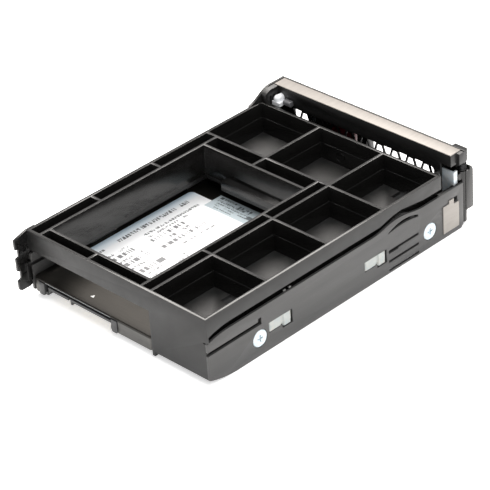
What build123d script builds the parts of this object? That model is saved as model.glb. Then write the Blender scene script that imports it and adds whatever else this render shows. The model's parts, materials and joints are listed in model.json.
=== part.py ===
from build123d import *
from math import cos, radians, sin, sqrt
import os

# Hot-swap drive carrier for a 3.5 inch bay. It holds a 2.5 inch solid-state disk in a ribbed
# adapter tray. The bay door end (bezel and handle) faces -Y, the connector end faces +Y.
# Everything is drawn round the middle of the tray, with Z = 0 on the underside of the rails,
# and is moved to the middle of the whole object's underside when it is written.
# "Left" is -X, the hinge side of the handle. "Right" is +X, its free end.

# ---------------------------------------------------------------- driving dimensions, mm
# carrier
tray_width = 101.4            # body of the adapter tray, between the rails
tray_length = 137.4
tray_top = 31.2
rail_wall = 1.1
rail_top = 21.6
lip_bottom = 24.6             # underside of the tray's lip, which overhangs the rails
lip_drop = 2.3                # how far the lip comes down at the rear end
rail_drop = 1.9               # how far the rails' top edge comes down at the rear end
end_run = 12.0                # length over which both come down
groove_depth = 1.1            # recess between the left rail and the lip
groove_bottom = 19.5
groove_wall_top = 27.6        # top of the thicker wall behind the groove
skirt_bottom = 0.9            # the tray's underside, above the rails' underside
bezel_depth = 15.6            # from the tray's front end to the bezel's front edge
bezel_top = 36.0
bezel_wall = 1.3
inner_wall_setback = 8.3      # from the tray's front end to the bezel's inner wall
assembly_gap = 0.2            # clearance between pieces that only pass each other

# tray
rim_wall = 1.5
rib_wall = 1.3
pocket_floor = 16.5
floor_wall = 1.5
pocket_step = 24.2            # height of the small step on the pocket walls
step_width = 0.3
rear_channel_floor = 23.3
well_left = -14.2
well_right = 43.9
well_front = -25.3
well_rear = 61.5
rib_left = -20.5              # middle of the rib beside the left pockets
rib_middle = 15.7             # middle of the rib between the two right front pockets
rib_rows = (33.8, -0.8, -34.1)
skirt_wall = 1.5
slot_reach = 18.5             # core-out slots over the left screws, inwards from the wall
slot_width = 5.4
ledge_left = -1.0             # block on the front wall of the well
ledge_right = 31.0
ledge_depth = 3.6
ledge_top = 19.8
corner_post = 1.0             # closes the left groove at the rear end
mark_x = 3.4                  # round moulding mark on the tray's front wall
mark_z = 20.9
mark_r = 2.6
mark_line = 0.6

# 2.5 inch disk
disk_width = 69.85
disk_length = 100.2
disk_height = 7.0
disk_bottom = 2.4
disk_centre_x = 15.67
disk_wall = 1.0
disk_cover = 1.2
plug_offset = 8.3             # connector's middle from the disk's middle
plug_width = 47.0
plug_post = 3.4
label_setback = 12.0          # from the disk's front end to the main label
disk_hole_rows = (14.0, 90.6)
disk_hole_pitch = 61.72
disk_side_hole = 3.0          # side holes above the disk's underside

# screws
rail_screw_rear = 40.4
rail_screw_front = -61.2
rail_screw_height = 7.9
rail_head_r = 3.85
rail_head_height = 1.2
rail_shank_r = 1.7
rail_screw_length = 4.6
boss_length = 6.5             # bosses of the tray round the large screws
boss_half = 4.5
small_shank_r = 1.45
small_head_r = 2.7
thread_gap = 0.05
boss_r = rail_head_r + 0.95   # bosses of the rails round the large screws

# windows, vents and gaskets of the rails
window_length = 13.4
window_clear = 1.25           # from the rear window to the large screw's head
window_fronts = (rail_screw_rear - rail_head_r - window_clear - window_length, -34.2)
window_low = 6.2
window_high = 12.4
slit_low = 14.1               # slit that frees the springy rear arm
slit_width = 1.8
slit_high = 17.4
slit_tick = 1.8
slit_recess = 0.8             # recess in the tray behind the slit
nose_rise = 2.8               # the underside comes up at the rear left corner
nose_run = 15.0
vent_rear = -35.5
vent_front = -54.0
vent_height = 1.2
vent_heights = (9.8, 5.0, 0.9)
arch_rise = 2.2
leaf_thickness = 0.35
leaf_seat = 0.45              # depth of the leaf springs' seat in the rail
leaf_gap = 0.5                # dark gap in front of each leaf
leaf_tuck_rear = 0.8
leaf_tuck_top = 1.1
leaf_split = 0.41             # share of the window taken by the front pad
gasket_thickness = 0.4
gasket_length = 10.0
gasket_low = 2.4
gasket_high = 15.6

# handle and hinge
hinge_inset = 2.5             # hinge axis from the rail's outer face
hinge_forward = 0.6           # hinge axis in front of the bezel's front face
pin_r = 1.2
pin_gap = 0.05
barrel_r = 2.2
barrel_bottom = 7.1
barrel_top = 26.0
knuckle_r = 2.4
knuckle_rear = 4.4            # from the hinge axis to the back of the top knuckle
knuckle_front = 1.9
top_knuckle = 30.8
handle_end_top = 28.2         # the handle is lower at its hinge end
bottom_knuckle = 6.9
handle_thickness = 4.6
handle_gap = 0.3
handle_bottom = 6.6
handle_top = 30.6
handle_round = 4.2
handle_windows = ((-34.0, 4.3), (38.5, 49.2))
handle_end_cut = 1.8          # the free end is thinner by this much
handle_window_low = 10.0
handle_window_high = 26.0
latch_travel = 3.0
latch_left = 13.0
latch_width = 13.0
latch_low = 13.8
latch_high = 25.0
latch_bar_low = 27.6
latch_bar_high = 29.4
latch_nose = 1.8
spring_wire = 0.44
latch_wire = 0.3
cheek_wall = 1.1              # right cheek and rear guide, outside the rail
flange_wall = 1.6

# honeycomb
cell_pitch_x = 4.4            # between columns
cell_pitch_z = 8.2            # between cells of one column
cell_half_width = 2.45
cell_half_flat = 1.2
cell_half_height = 3.7
cell_first = -5.3             # X of a column
cell_level = 23.6
grille_thickness = 0.8

# rear guide
guide_rear = 75.4
guide_bottom = 4.5
guide_tooth = 1.5

half_width = tray_width / 2
outer = half_width + rail_wall
tray_end = tray_length / 2
bezel_front = -tray_end - bezel_depth
bezel_inner = -tray_end - inner_wall_setback
grille_y = bezel_front + bezel_wall
floor_under = pocket_floor - floor_wall
disk_left = disk_centre_x - disk_width / 2
disk_right = disk_centre_x + disk_width / 2
disk_front = tray_end - disk_length
label_front = disk_front + label_setback
disk_top = disk_bottom + disk_height
handle_back = bezel_front - handle_gap
handle_front = handle_back - handle_thickness
hinge_x = -outer + hinge_inset
hinge_y = bezel_front - hinge_forward
cheek = outer + cheek_wall

nodes = {}


def block(x0, x1, y0, y1, z0, z1):
    """A box between two corners."""
    middle = Location(((x0 + x1) / 2, (y0 + y1) / 2, (z0 + z1) / 2))
    return middle * Box(abs(x1 - x0), abs(y1 - y0), abs(z1 - z0))


def rod(x, y, z0, z1, r):
    """An upright cylinder."""
    return Location((x, y, (z0 + z1) / 2)) * Cylinder(r, z1 - z0)


def rod_x(x0, x1, y, z, r):
    """A cylinder along X."""
    return Location(((x0 + x1) / 2, y, z), (0, 90, 0)) * Cylinder(r, abs(x1 - x0))


def rod_y(x, y0, y1, z, r):
    """A cylinder along Y."""
    return Location((x, (y0 + y1) / 2, z), (90, 0, 0)) * Cylinder(r, abs(y1 - y0))


def side_plate(outline, x0, x1):
    """A plate along X whose outline is a closed list of edges in the YZ plane."""
    face = Face(Wire(outline))
    plate = extrude(face, amount=abs(x1 - x0), dir=(1, 0, 0))
    return Location((min(x0, x1), 0, 0)) * plate


def polygon_edges(points):
    """Straight edges round a closed list of (y, z) points at X = 0."""
    loop = [Vector(0, y, z) for y, z in points]
    return [Edge.make_line(a, b) for a, b in zip(loop, loop[1:] + loop[:1])]


def keep(name, *shapes):
    """Store a node; several separate solids make one group."""
    solids = []
    for shape in shapes:
        solids.extend(shape.solids())
    nodes[name] = solids[0] if len(solids) == 1 else Compound(solids)


# ---------------------------------------------------------------- adapter tray
def pocket(x0, x1, y0, y1, floor):
    """A pocket whose walls step inwards a little below the step height."""
    s = step_width
    upper = block(x0, x1, y0, y1, pocket_step, tray_top + 1)
    lower = block(x0 + s, x1 - s, y0 + s, y1 - s, floor, pocket_step + 0.1)
    return upper + lower


def spans(low, high, ribs):
    """The clear spans between two walls that ribs divide."""
    edges = [low]
    for rib in sorted(ribs):
        edges.extend((rib - rib_wall / 2, rib + rib_wall / 2))
    edges.append(high)
    return list(zip(edges[0::2], edges[1::2]))


def lip_curve(side, depth=0.0):
    """What is cut away below the lip on one side, with its hump over the arched vent."""
    y0 = vent_rear + 3
    y1 = vent_front + 3
    rise = arch_rise
    low = lip_bottom
    rear = tray_end
    points = [(rear + 1, 0), (rear + 1, low - lip_drop), (rear, low - lip_drop),
              (rear - end_run * 0.33, low - lip_drop * 0.48), (rear - end_run * 0.66, low - lip_drop * 0.15),
              (rear - end_run, low), (y0 + 2, low), (y0 - 6, low + rise * 0.8),
              ((y0 + y1) / 2 - 2, low + rise), (y1 - 6, low + 0.4), (-tray_end - 1, low + 0.2),
              (-tray_end - 1, 0)]
    x0, x1 = sorted((side * (half_width - depth), side * (outer + 1)))
    return side_plate(polygon_edges(points), x0, x1)


def make_tray():
    top = block(-outer, outer, -tray_end, tray_end, floor_under, tray_top)
    inside = half_width - rim_wall + rail_wall
    wall_l = rib_left - rib_wall / 2
    wall_r = rib_left + rib_wall / 2
    front_row = rib_rows[2] - rib_wall / 2
    behind_row = rib_rows[2] + rib_wall / 2
    rear = tray_end - rim_wall
    cuts = []
    # left row of pockets, rear to front, and the two right front pockets
    for y0, y1 in spans(-tray_end + rim_wall, rear, rib_rows):
        cuts.append(pocket(-inside, wall_l, y0, y1, pocket_floor))
    for x0, x1 in spans(wall_r, inside, (rib_middle,)):
        cuts.append(pocket(x0, x1, -tray_end + rim_wall, front_row, pocket_floor))
    # narrow channels round the well
    for y0, y1 in spans(behind_row, rear, rib_rows[:2]):
        cuts.append(pocket(wall_r, well_left - rib_wall, y0, y1, pocket_floor))
    for y0, y1 in spans(behind_row, rear, rib_rows[:2]):
        cuts.append(pocket(well_right + rib_wall, inside, y0, y1, pocket_floor))
    for x0, x1 in spans(well_left, well_right, (rib_middle,)):
        cuts.append(pocket(x0, x1, behind_row, well_front - rib_wall, pocket_floor))
        cuts.append(block(x0, x1, well_rear + rib_wall, rear, rear_channel_floor, tray_top + 1))
    # the well itself goes right through
    cuts.append(block(well_left, well_right, well_front, well_rear, floor_under - 1, tray_top + 1))
    # rear opening over the disk
    cuts.append(block(disk_left - assembly_gap, outer + 1, well_rear - 1, tray_end + 1,
                      floor_under - 1, rear_channel_floor - floor_wall))
    for side in (-1, 1):
        cuts.append(lip_curve(side))
    tray = top
    for cut in cuts:
        tray = tray - cut
    # thicker wall behind the groove above the left rail
    wall = groove_wall()
    tray = tray + block(-half_width, wall, -tray_end, tray_end, floor_under, groove_wall_top)
    tray = tray - lip_curve(-1)
    tray = tray - (lip_curve(-1, groove_depth) & block(-outer, 0, -tray_end - 1, tray_end + 1,
                                                       groove_bottom, tray_top))
    # block on the front wall of the well
    tray = tray + block(ledge_left, ledge_right, well_front - 0.5, well_front + ledge_depth, floor_under,
                        ledge_top)
    # core-out slots in the floors of two left pockets, along their front walls
    edge = groove_wall() + 0.1
    for wall_y in (rib_rows[0] + rib_wall / 2, -tray_end + rim_wall):
        tray = tray - block(edge, edge + slot_reach, wall_y + step_width, wall_y + step_width + slot_width,
                            floor_under - 1, pocket_floor + 1)
    # skirts below the floors
    low = skirt_bottom
    high = floor_under + 0.5
    inner_skirt = disk_left - assembly_gap
    cross = disk_front - assembly_gap
    tray = tray + block(-half_width, -half_width + skirt_wall, -tray_end, tray_end, low, high)
    tray = tray + block(inner_skirt - skirt_wall, inner_skirt, cross - skirt_wall, tray_end, low, high)
    tray = tray + block(-half_width, inner_skirt, tray_end - rim_wall, tray_end, low, high)
    tray = tray + block(-half_width, half_width, -tray_end, -tray_end + skirt_wall, low, high)
    tray = tray + block(inner_skirt - skirt_wall, half_width, cross - skirt_wall, cross, low, high)
    tray = tray + block(half_width - skirt_wall, half_width, -tray_end, cross, low, high)
    # the underside comes up at the rear left corner, as the rail's does
    nose = [(tray_end + 1, -1), (tray_end - nose_run, -1), (tray_end - nose_run, 0.05),
            (tray_end - nose_run / 2, nose_rise * 0.27 + 0.05), (tray_end + 1, nose_rise * 1.05 + 0.15)]
    tray = tray - side_plate(polygon_edges(nose), -outer, inner_skirt - skirt_wall)
    # post that closes the groove at the rear corner
    tray = tray + block(-outer, -half_width + groove_depth + 0.4, tray_end - corner_post, tray_end,
                        rail_top - rail_drop + assembly_gap * 2, lip_bottom)
    # recess behind the rail's slit
    tray = tray - block(-half_width - 1, -half_width + slit_recess, rail_screw_rear - 0.6,
                        tray_end - rim_wall, slit_low, slit_low + slit_width)
    # shelf under the disk
    shelf = block(inner_skirt - skirt_wall, half_width, cross - skirt_wall, well_rear - 1.5,
                  low, disk_bottom)
    for x, y in disk_hole_places():
        shelf = shelf - rod(x, y, low - 1, disk_bottom + 1, small_shank_r + thread_gap)
        sink = Location((x, y, low + 0.65)) * Cone(small_head_r + thread_gap, small_shank_r, 1.3)
        shelf = shelf - sink
    tray = tray + shelf
    # screw bosses
    for x_side, y, z in tray_screw_places():
        x0 = x_side * (half_width - boss_length)
        tray = tray + block(x0, x_side * half_width, y - boss_half, y + boss_half, z - boss_half, z + boss_half)
        depth = x_side * (half_width - rail_head_height - rail_screw_length - 0.6)
        tray = tray - rod_x(x_side * (half_width + 1), depth, y, z, rail_shank_r)
        seat = x_side * (half_width - rail_head_height)
        tray = tray - rod_x(x_side * (half_width + 1), seat, y, z, boss_r)
    # round moulding mark on the front wall of the middle front pocket
    wall_y = -tray_end + rim_wall + step_width
    ring = rod_y(mark_x, wall_y - 0.2, wall_y + 0.2, mark_z, mark_r)
    ring = ring - rod_y(mark_x, wall_y - 0.3, wall_y + 0.3, mark_z, mark_r - mark_line)
    tray = tray - ring
    keep("adapter_tray", tray)


def groove_wall():
    """X of the inner face of the wall behind the groove."""
    return -half_width + groove_depth + 0.8


def disk_hole_places():
    """Middles of the four holes in the disk's underside."""
    places = []
    for row in disk_hole_rows:
        for side in (-1, 1):
            places.append((disk_centre_x + side * disk_hole_pitch / 2, tray_end - row))
    return places


def tray_screw_places():
    """Side, Y and Z of the large screws that hold the rails to the tray."""
    return [(-1, rail_screw_rear, rail_screw_height),
            (-1, rail_screw_front, rail_screw_height),
            (1, rail_screw_front, rail_screw_height)]


def disk_screw_places():
    """Side, Y and Z of the large screw that holds the right rail to the disk."""
    return [(1, tray_end - disk_hole_rows[0], disk_bottom + disk_side_hole)]


# ---------------------------------------------------------------- rails
def rail_outline(side):
    """Outline of a rail in the YZ plane: a straight top with a hump over the arched vent."""
    top = rail_top
    rear = tray_end
    hump = (vent_rear + vent_front) / 2 + 3
    run = (vent_rear - vent_front) * 0.85
    end = bezel_front + 1.7
    line = Edge.make_line
    edges = [
        line((0, rear, top - rail_drop), (0, rear, nose_rise)),
        Edge.make_three_point_arc((0, rear, nose_rise), (0, rear - nose_run / 2, nose_rise * 0.27),
                                  (0, rear - nose_run, 0)),
        line((0, rear - nose_run, 0), (0, end + 1.5, 0)),
        line((0, end + 1.5, 0), (0, end, 1.5)),
        line((0, end, 1.5), (0, end, top)),
        line((0, end, top), (0, hump - run, top)),
        Edge.make_spline([Vector(0, hump - run, top), Vector(0, hump - run / 3, top + arch_rise * 0.75),
                          Vector(0, hump + run / 3, top + arch_rise * 0.75), Vector(0, hump + run, top)],
                         tangents=[Vector(0, 1, 0), Vector(0, 1, 0)]),
        line((0, hump + run, top), (0, rear - end_run, top)),
        Edge.make_three_point_arc((0, rear - end_run, top), (0, rear - end_run / 2, top - rail_drop / 4),
                                  (0, rear, top - rail_drop)),
    ]
    return edges


def vent_arch(x0, x1):
    """The crescent vent that follows the hump in the rail's top edge."""
    y0 = vent_rear
    y1 = vent_front
    middle = (y0 + y1) / 2
    z = rail_top - 2.3
    edges = [
        Edge.make_three_point_arc((0, y0, z), (0, middle + 1, z + arch_rise), (0, y1, z + 0.3)),
        Edge.make_line((0, y1, z + 0.3), (0, y1, z - 0.7)),
        Edge.make_three_point_arc((0, y1, z - 0.7), (0, middle + 1, z + arch_rise - 1.7), (0, y0, z - 0.4)),
        Edge.make_line((0, y0, z - 0.4), (0, y0, z)),
    ]
    return side_plate(edges, x0, x1)


def gasket_places():
    """Front and rear ends of the side gaskets."""
    rear = -tray_end - 0.7
    return rear - gasket_length, rear


def make_rail(side, name):
    x0 = side * half_width
    x1 = side * outer
    cut0 = side * (half_width - 3)
    cut1 = side * (outer + 1)
    rail = side_plate(rail_outline(side), x0, x1)
    # windows, with a shallow seat on the inside for the ends of each leaf spring
    for front in window_fronts:
        split = front + window_length * leaf_split
        rail = rail - block(cut0, side * (half_width + leaf_seat), front + leaf_gap - assembly_gap,
                            front + window_length + leaf_tuck_rear + assembly_gap,
                            window_low + 1.6, window_high + leaf_tuck_top + assembly_gap)
        rail = rail - block(cut0, cut1, front, split + 0.4, window_low, window_high)
        rail = rail - block(cut0, cut1, split, front + window_length, window_low + 1.6, window_high)
    # vents
    rail = rail - vent_arch(cut0, cut1)
    for z in vent_heights:
        rail = rail - block(cut0, cut1, vent_front, vent_rear, z, z + vent_height)
    rail = rail - block(cut0, cut1, vent_rear - 6, vent_rear, vent_heights[0] - 0.5, vent_heights[0] + 0.5)
    # slit that frees the springy rear arm
    rail = rail - block(cut0, cut1, rail_screw_rear - 1.2, tray_end + 1, slit_low, slit_low + slit_width)
    rail = rail - block(cut0, cut1, rail_screw_rear - 1.2, rail_screw_rear - 1.2 + slit_tick,
                        slit_low, slit_high)
    # inward bosses round the large screws, counterbored for their heads, or a plain hole
    places = [p for p in tray_screw_places() + disk_screw_places() if p[0] == side]
    for _, y, z in places:
        deep = rail_head_height
        if (side, y, z) in disk_screw_places():
            rail = rail - rod_x(cut0, cut1, y, z, rail_shank_r + 0.15)
            continue
        inner = side * (half_width - deep)
        rail = rail + rod_x(inner, x0, y, z, boss_r - thread_gap)
        rail = rail - rod_x(cut0, cut1, y, z, rail_shank_r + 0.15)
        rail = rail - rod_x(side * (outer - deep - thread_gap), cut1, y, z, rail_head_r + 0.15)
    # holes for the small screws under the gasket
    for y, z in frame_screw_places():
        rail = rail - rod_x(cut0, cut1, y, z, small_shank_r + thread_gap)
    # small square hole beside the gasket's tab
    front, rear = gasket_places()
    rail = rail - block(cut0, cut1, front + 0.6, front + 3.0, gasket_high - 1.0, gasket_high + 1.6)
    keep(name, rail)


def frame_screw_places():
    """Y and Z of the small screws that hold each rail to the bezel's side flanges."""
    front, rear = gasket_places()
    middle = (front + rear) / 2
    return [(middle, gasket_low + 2.6), (middle, gasket_high - 3.6)]


def make_frame_screws():
    """Small pan-head screws from inside the flanges, four in all."""
    screws = []
    for side in (-1, 1):
        for y, z in frame_screw_places():
            inner = side * (half_width - flange_wall)
            shank = rod_x(inner, side * (outer - 0.1), y, z, small_shank_r)
            head = rod_x(inner, inner - side * 1.1, y, z, 2.3)
            slot = block(inner - side * 0.6, inner - side * 2, y - 1.5, y + 1.5, z - 0.25, z + 0.25)
            screws.append(shank + head - slot)
    keep("frame_screws", *screws)


def phillips_screw(side, y, z, length, flush):
    """A large flat-topped cross-head screw whose head ends at X = side * flush."""
    top = side * flush
    under = side * (flush - rail_head_height)
    tip = side * (flush - rail_head_height - length)
    screw = rod_x(under, top, y, z, rail_head_r) + rod_x(tip, under, y, z, rail_shank_r - thread_gap)
    rim = [e for e in screw.edges().filter_by(GeomType.CIRCLE) if abs(e.center().X - top) < 0.01]
    screw = chamfer(rim, 0.3)
    depth = side * (flush - 0.75)
    for dy, dz in ((1.6, 0.4), (0.4, 1.6)):
        screw = screw - block(depth, top + side, y - dy, y + dy, z - dz, z + dz)
    return screw


def make_rail_screws():
    screws = []
    for side, y, z in tray_screw_places():
        screws.append(phillips_screw(side, y, z, rail_screw_length, outer))
    for side, y, z in disk_screw_places():
        screws.append(phillips_screw(side, y, z, rail_wall + 2.2, outer + rail_head_height))
    keep("rail_screws", *screws)


def leaf_spring(side, front):
    """A steel leaf in one window: a flat strap with two raised, flat-topped pads."""
    t = leaf_thickness
    base = half_width + thread_gap
    rear = front + window_length
    split = front + window_length * leaf_split
    low = window_low + 0.15
    high = window_high - 0.15
    strap = block(side * base, side * (base + t), front + leaf_gap, rear + leaf_tuck_rear,
                  low + 1.6, window_high + leaf_tuck_top)
    spring = strap
    slope = 0.8
    for y0, y1, z0, rise in ((front + leaf_gap, split, low + 0.5, 0.95), (split + 0.35, rear - 0.1, low + 1.6, 0.8)):
        x = side * base
        top = side * (base + rise)
        under = top - side * t
        loop = [(x, y0), (top, y0 + slope), (top, y1 - slope), (x, y1), (x, y1 - t * 1.4),
                (under, y1 - slope - t * 0.6), (under, y0 + slope + t * 0.6), (x, y0 + t * 1.4)]
        pad = extrude(Face(Wire.make_polygon([Vector(a, b, z0) for a, b in loop])), amount=high - z0,
                      dir=(0, 0, 1))
        frame = block(x - side, top + side, y0, y1, z0, high + 1)
        corner = frame.edges().filter_by(Axis.X).group_by(Axis.Z)[0].sort_by(Axis.Y)[0]
        spring = spring + (pad & fillet(corner, 1.2))
    return spring


def make_leaf_springs():
    springs = []
    for side in (-1, 1):
        for front in window_fronts:
            springs.append(leaf_spring(side, front))
    keep("leaf_springs", *springs)


def make_gasket(side, name):
    """Conductive cloth patch with a small tab, stuck to the outside of a rail."""
    front, rear = gasket_places()
    x0 = side * outer
    x1 = side * (outer + gasket_thickness)
    patch = block(x0, x1, front, rear, gasket_low, gasket_high)
    patch = patch + block(x0, x1, front + 3.2, front + 6.2, gasket_high - 0.5, gasket_high + 1.5)
    patch = patch - block(x0 - side, x1 + side, front - 1, front + 3.2, gasket_high - 1.2, gasket_high + 1)
    keep(name, patch)


def make_rear_guide():
    """Toothed guide ear behind the tray's rear right corner."""
    y0 = tray_end - 9.0
    y1 = guide_rear
    root = y1 - guide_tooth
    points = [(y0, tray_top - 9), (y0 + 4, tray_top - 0.4), (tray_end, tray_top - 0.4),
              (y1, tray_top - 2.4), (y1, 24.4), (root, 24.0), (root, 20.4), (y1, 20.0), (y1, 14.2),
              (root, 13.8), (root, 10.0), (y1 + 0.2, 9.4), (y1, 5.2), (y1 - 1.0, guide_bottom),
              (tray_end + 1.2, guide_bottom), (y0, guide_bottom + 4)]
    plate = side_plate(polygon_edges(points), outer, cheek)
    foot = block(half_width, outer, tray_end + assembly_gap, tray_end + 2.4, guide_bottom + 3, rail_top - 5)
    web = block(outer, outer + 0.4, y0 + 1.0, y1 - 2.6, 16.2, 17.0)
    plate = plate + foot - web
    for z in (12.0, 22.2):
        plate = plate - block(outer - 0.1, outer + 0.35, tray_end + 1.0, y1 - 2.4, z - 0.4, z + 0.4)
    keep("rear_guide", plate)


# ---------------------------------------------------------------- bezel
def make_bezel():
    w = bezel_wall
    rear = -tray_end - 0.3
    far = half_width - flange_wall
    inner_end = hinge_x + 5.0
    top_wall = block(-outer, outer, bezel_front, bezel_inner, bezel_top - w, bezel_top)
    rim = block(-outer, outer, bezel_front, bezel_front + 0.8, bezel_top, bezel_top + 0.5)
    front_wall = block(inner_end - 0.3, far + 0.5, bezel_front, grille_y, 0, bezel_top - w / 2)
    front_hole = block(-42.5, 46.0, bezel_front - 1, grille_y + 1, 3.4, 28.0)
    inner_wall = block(inner_end, far + 0.5, bezel_inner - 1.0, bezel_inner, 0, bezel_top - w / 2)
    window = block(-41.0, far - 0.6, bezel_inner - 2, bezel_inner + 1, 3.4, 27.8)
    window = fillet(window.edges().filter_by(Axis.Y), 3.0)
    bottom_wall = block(-far - 0.5, far + 0.5, bezel_front, rear, 0, w)
    bottom_wall = bottom_wall - block(-half_width, hinge_x + 3.2, bezel_front - 1, hinge_y + 3.2, -1, w + 1)
    bezel = top_wall + rim + (front_wall - front_hole) + (inner_wall - window) + bottom_wall
    # side flanges inside the rails
    bezel = bezel + block(-half_width, -far, hinge_y + 3.0, rear, 0, rail_top - 0.6)
    bezel = bezel + (block(far, half_width, bezel_front, rear, 0, bezel_top) & cheek_region(far, half_width, 0))
    # right cheek: fills the bay's edge and sweeps down to the tray's rim
    upper = block(far, cheek, bezel_front, rear, rail_top + 0.4, bezel_top)
    upper = upper & cheek_region(far, cheek, 0)
    ear = cheek_region(outer, cheek, rail_top + 0.4)
    bezel = bezel + upper + ear
    # knuckles
    bezel = bezel - block(-outer - 1, -outer + 1.7, hinge_y + knuckle_rear, bezel_inner + 1, top_knuckle,
                          bezel_top + 1)
    top = block(-outer, inner_end, hinge_y - knuckle_front, hinge_y + knuckle_rear, top_knuckle, bezel_top)
    top = fillet(top.edges().filter_by(Axis.Z).group_by(Axis.X)[0].sort_by(Axis.Y)[0], knuckle_front)
    top = top + block(-outer + 1.7, inner_end, hinge_y, bezel_inner, top_knuckle, bezel_top)
    low = rod(hinge_x, hinge_y, 1.2, bottom_knuckle, knuckle_r - 0.5)
    low = low + block(hinge_x, inner_end - 1.0, hinge_y, hinge_y + 1.8, 0, bottom_knuckle)
    low = low + block(hinge_x - 0.5, inner_end - 1.0, hinge_y + 1.7, hinge_y + 3.5, 0, bottom_knuckle)
    bezel = bezel + top + low
    bezel = bezel - rod(hinge_x, hinge_y, 1.8, bezel_top - 0.4, pin_r + pin_gap)
    # slot for the latch nose, holes for the light pipe, rivets and small screws
    bezel = bezel - latch_slot(bezel_front - 1, grille_y + 0.2)
    bezel = bezel - rod_x(hinge_x, torsion_leg_end() + assembly_gap, hinge_y + torsion_r, torsion_top(),
                          spring_wire / 2 + thread_gap)
    bezel = bezel - pipe_shape(bezel_front - 1, bezel_inner + 1, assembly_gap)
    for x, z in rivet_places():
        bezel = bezel - rod_y(x, bezel_inner - 1.5, bezel_inner + 0.5, z, 0.85)
    for side in (-1, 1):
        for y, z in frame_screw_places():
            bezel = bezel - rod_x(side * (far - 1), side * (outer + 1), y, z, small_shank_r + thread_gap)
    # grip notches in the top edge of the right cheek's inner face
    for i in range(3):
        y = rear - 3.0 - 2.2 * i
        bezel = bezel - block(far - 0.4, far + 0.4, y - 0.5, y + 0.5, rail_top + 3, bezel_top - 3)
    keep("bezel_frame", bezel)


def cheek_region(x0, x1, z_low):
    """What lies under the right cheek's top line, which sweeps down to the tray's rim."""
    z_top = bezel_top + 0.5
    foot = -tray_end + 7.0
    line = Edge.make_line
    curve = [(0, foot, tray_top), (0, foot - 2.3, tray_top + 0.6), (0, foot - 5.6, tray_top + 2.3),
             (0, foot - 8.8, tray_top + 4.1), (0, foot - 11.4, z_top - 0.3), (0, foot - 14.6, z_top)]
    sweep_line = Edge.make_spline([Vector(*p) for p in curve], tangents=[Vector(0, -1, 0.1), Vector(0, -1, 0)])
    rear = -tray_end - 0.3
    edges = [sweep_line, line(curve[-1], (0, bezel_front, z_top)),
             line((0, bezel_front, z_top), (0, bezel_front, z_low)),
             line((0, bezel_front, z_low), (0, rear, z_low)),
             line((0, rear, z_low), (0, foot, rail_top + 2.0)),
             line((0, foot, rail_top + 2.0), curve[0])]
    return side_plate(edges, x0, x1)


def latch_slot(y0, y1):
    """Room for the latch nose over its whole travel."""
    g = assembly_gap * 2
    end = latch_end()
    return block(end - latch_nose - latch_travel - g, end + g, y0, y1, latch_bar_low - g, latch_bar_high + g)


def latch_end():
    """Free end of the latch bar."""
    return half_width - flange_wall - 0.7


def rivet_places():
    """X and Z of the rivets that hold the hinge plate to the bezel's inner wall."""
    x = hinge_x + 6.6
    return [(x, 7.0), (x, 24.5)]


def pipe_shape(y0, y1, grow=0.0):
    """The light pipe's section, flat below and round above."""
    x = half_width - 3.5
    z = 31.2
    r = 1.7 + grow
    return rod_y(x, y0, y1, z, r) + block(x - r, x + r, y0, y1, z - r, z)


def make_light_pipe():
    x = half_width - 3.5
    y = bezel_inner + 2.4
    r = 1.9
    top = bezel_top - 3.0
    body = pipe_shape(bezel_front + 0.3, y)
    body = body + rod(x, y, 28.6, top - r, r) + Location((x, y, top - r)) * Sphere(r)
    body = body + block(x - 2.8, x + 1.8, bezel_inner + assembly_gap / 2, y + 2.0, 28.6, 30.4)
    keep("light_pipe", body)
    x1 = x - 2.8 - assembly_gap / 10
    y0 = bezel_inner + assembly_gap / 10
    clip = block(x1 - 4.3, x1, y0, y, 28.8, 31.2)
    clip = chamfer(clip.edges().filter_by(Axis.X).group_by(Axis.Y)[-1], 0.5)
    keep("light_pipe_clip", clip)


def make_grille():
    """Thin sheet with columns of tall six-sided cells, flat sides up."""
    x0 = -42.8
    x1 = half_width - flange_wall - 0.8
    z0 = 2.2
    z1 = 33.4
    sheet = block(x0, x1, grille_y, grille_y + grille_thickness, z0, z1)
    w = cell_half_width
    f = cell_half_flat
    h = cell_half_height
    outline = [(w, 0), (f, h), (-f, h), (-w, 0), (-f, -h), (f, -h)]
    loop = [Vector(x, 0, z) for x, z in outline]
    cell = extrude(Face(Wire.make_polygon(loop)), amount=grille_thickness * 3, dir=(0, 1, 0), both=True)
    cuts = []
    for i in range(-8, 12):
        x = cell_first + i * cell_pitch_x
        shift = cell_pitch_z / 2 * (1 if i % 2 == 0 else 0)
        for j in range(-1, 3):
            z = cell_level - shift - j * cell_pitch_z
            if x - w < x0 + 1 or x + w > x1 - 1 or z - h < z0 + 0.8 or z + h > z1 - 0.8:
                continue
            if x > 40 and z + h > latch_bar_low:
                continue
            cuts.append(Location((x, grille_y, z)) * cell)
    # the latch nose and the light pipe pass beside the cells
    sheet = sheet - cuts - latch_slot(grille_y - 1, grille_y + 2)
    sheet = sheet - pipe_shape(grille_y - 1, grille_y + 2, assembly_gap)
    keep("honeycomb_grille", sheet)


def make_top_gasket():
    strip = block(-outer + 1.8, outer - 0.5, bezel_front + 0.9, bezel_inner, bezel_top, bezel_top + 0.4)
    keep("top_gasket", strip)


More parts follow.
